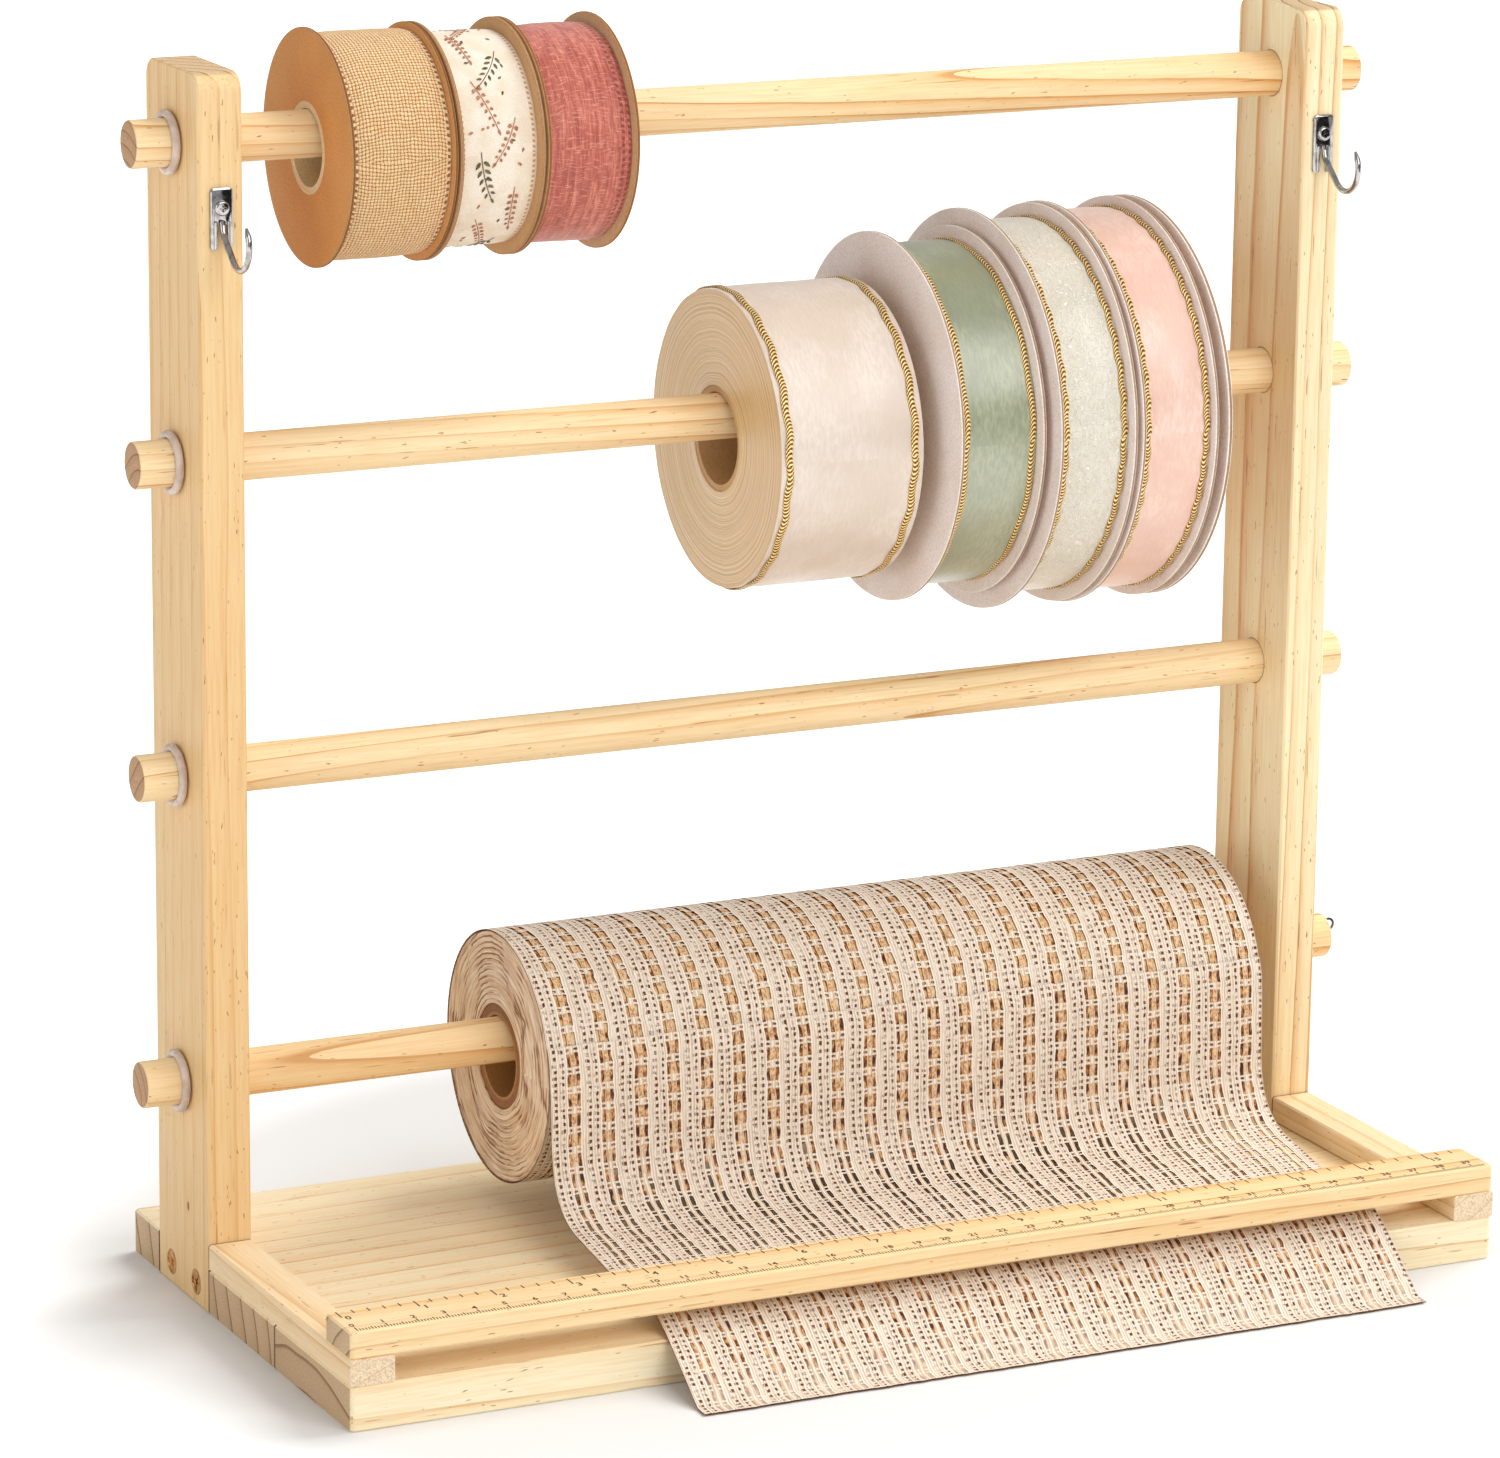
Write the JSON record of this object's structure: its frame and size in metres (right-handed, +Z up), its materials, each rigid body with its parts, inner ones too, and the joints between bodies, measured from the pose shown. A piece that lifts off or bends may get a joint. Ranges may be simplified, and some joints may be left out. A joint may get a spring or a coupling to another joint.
{
  "type": "ribbon spool dispenser",
  "caption": "Free-standing wooden ribbon rack: removable rods carry ribbon spools and a wide mesh roll above a base with a ruler bar over a dispensing slot; cup hooks on the posts.",
  "frame": {"origin": "middle of the base board's underside", "axes": "+X along the ruler bar from its zero end, +Y away from the user, +Z up"},
  "size_m": [0.4348, 0.2389, 0.402],
  "materials": {
    "pine": "planed and lightly sanded softwood, unfinished",
    "dowel": "smooth turned softwood, unfinished",
    "brass": "yellow passivated countersunk screws",
    "chrome": "bright plated steel wire and sheet",
    "silicone": "milky translucent silicone",
    "steel_wire": "thin bent steel wire",
    "core_card": "spirally wound brown card",
    "flange_card": "grey-brown board with pale cut edges",
    "burlap_ribbon": "open woven jute",
    "sprig_ribbon": "plain weave with a printed sprig pattern",
    "rose_ribbon": "slubby woven silk",
    "satin_ribbon": "satin with stitched gold edges",
    "sage_ribbon": "satin with wired gold edges",
    "ivory_ribbon": "figured weave with wired gold edges",
    "blush_ribbon": "satin with wired gold edges",
    "mesh_fabric": "open woven plastic mesh with dense bands"
  },
  "bodies": {
    "rack": {"base_board": "pine", "left_post": "pine", "right_post": "pine", "left_rail": "pine", "right_rail": "pine", "ruler_bar": "pine", "post_screws": "brass", "cup_hooks": "chrome", "hook_screws": "chrome", "mesh_sheet": "mesh_fabric"},
    "right_ring_1": {"right_ring_1": "silicone"},
    "rod_1": {"rod_1": "dowel"},
    "left_ring_1": {"left_ring_1": "silicone"},
    "right_ring_2": {"right_ring_2": "silicone"},
    "rod_2": {"rod_2": "dowel"},
    "left_ring_2": {"left_ring_2": "silicone"},
    "right_ring_3": {"right_ring_3": "silicone"},
    "rod_3": {"rod_3": "dowel"},
    "left_ring_3": {"left_ring_3": "silicone"},
    "right_ring_4": {"right_ring_4": "silicone"},
    "rod_4": {"rod_4": "dowel", "rod_4_eye": "steel_wire"},
    "left_ring_4": {"left_ring_4": "silicone"},
    "burlap": {"burlap_core": "core_card", "burlap_flanges": "flange_card", "burlap_ribbon": "burlap_ribbon"},
    "sprig": {"sprig_core": "core_card", "sprig_flanges": "flange_card", "sprig_ribbon": "sprig_ribbon"},
    "rose": {"rose_core": "core_card", "rose_flanges": "flange_card", "rose_ribbon": "rose_ribbon"},
    "satin": {"satin_core": "core_card", "satin_ribbon": "satin_ribbon"},
    "sage": {"sage_core": "core_card", "sage_flanges": "flange_card", "sage_ribbon": "sage_ribbon"},
    "ivory": {"ivory_core": "core_card", "ivory_flanges": "flange_card", "ivory_ribbon": "ivory_ribbon"},
    "blush": {"blush_core": "core_card", "blush_flanges": "flange_card", "blush_ribbon": "blush_ribbon"},
    "mesh_roll": {"mesh_roll_core": "core_card", "mesh_roll_winding": "mesh_fabric"}
  },
  "joints": [
    {"name": "rod_1_draw", "type": "slide", "parent": "rack", "child": "right_ring_1", "axis": [1, 0, 0], "range_m": [0, 0.42]},
    {"name": "rod_1_turn", "type": "hinge", "parent": "right_ring_1", "child": "rod_1", "pos_m": [0, 0.047, 0.3695], "axis": [1, 0, 0], "continuous": true},
    {"name": "left_ring_1_off", "type": "slide", "parent": "rack", "child": "left_ring_1", "axis": [-1, 0, 0], "range_m": [0, 0.03]},
    {"name": "rod_2_draw", "type": "slide", "parent": "rack", "child": "right_ring_2", "axis": [1, 0, 0], "range_m": [0, 0.42]},
    {"name": "rod_2_turn", "type": "hinge", "parent": "right_ring_2", "child": "rod_2", "pos_m": [0, 0.047, 0.27], "axis": [1, 0, 0], "continuous": true},
    {"name": "left_ring_2_off", "type": "slide", "parent": "rack", "child": "left_ring_2", "axis": [-1, 0, 0], "range_m": [0, 0.03]},
    {"name": "rod_3_draw", "type": "slide", "parent": "rack", "child": "right_ring_3", "axis": [1, 0, 0], "range_m": [0, 0.42]},
    {"name": "rod_3_turn", "type": "hinge", "parent": "right_ring_3", "child": "rod_3", "pos_m": [0, 0.047, 0.1705], "axis": [1, 0, 0], "continuous": true},
    {"name": "left_ring_3_off", "type": "slide", "parent": "rack", "child": "left_ring_3", "axis": [-1, 0, 0], "range_m": [0, 0.03]},
    {"name": "rod_4_draw", "type": "slide", "parent": "rack", "child": "right_ring_4", "axis": [1, 0, 0], "range_m": [0, 0.42]},
    {"name": "rod_4_turn", "type": "hinge", "parent": "right_ring_4", "child": "rod_4", "pos_m": [0, 0.047, 0.071], "axis": [1, 0, 0], "continuous": true},
    {"name": "left_ring_4_off", "type": "slide", "parent": "rack", "child": "left_ring_4", "axis": [-1, 0, 0], "range_m": [0, 0.03]},
    {"name": "burlap_spin", "type": "hinge", "parent": "rack", "child": "burlap", "pos_m": [0, 0.047, 0.36505], "axis": [1, 0, 0], "continuous": true},
    {"name": "sprig_spin", "type": "hinge", "parent": "rack", "child": "sprig", "pos_m": [0, 0.047, 0.36505], "axis": [1, 0, 0], "continuous": true},
    {"name": "rose_spin", "type": "hinge", "parent": "rack", "child": "rose", "pos_m": [0, 0.047, 0.36505], "axis": [1, 0, 0], "continuous": true},
    {"name": "satin_spin", "type": "hinge", "parent": "rack", "child": "satin", "pos_m": [0, 0.047, 0.26275], "axis": [1, 0, 0], "continuous": true},
    {"name": "sage_spin", "type": "hinge", "parent": "rack", "child": "sage", "pos_m": [0, 0.047, 0.26555], "axis": [1, 0, 0], "continuous": true},
    {"name": "ivory_spin", "type": "hinge", "parent": "rack", "child": "ivory", "pos_m": [0, 0.047, 0.26555], "axis": [1, 0, 0], "continuous": true},
    {"name": "blush_spin", "type": "hinge", "parent": "rack", "child": "blush", "pos_m": [0, 0.047, 0.26555], "axis": [1, 0, 0], "continuous": true},
    {"name": "mesh_roll_spin", "type": "hinge", "parent": "rack", "child": "mesh_roll", "pos_m": [0, 0.047, 0.06535], "axis": [1, 0, 0], "continuous": true}
  ]
}
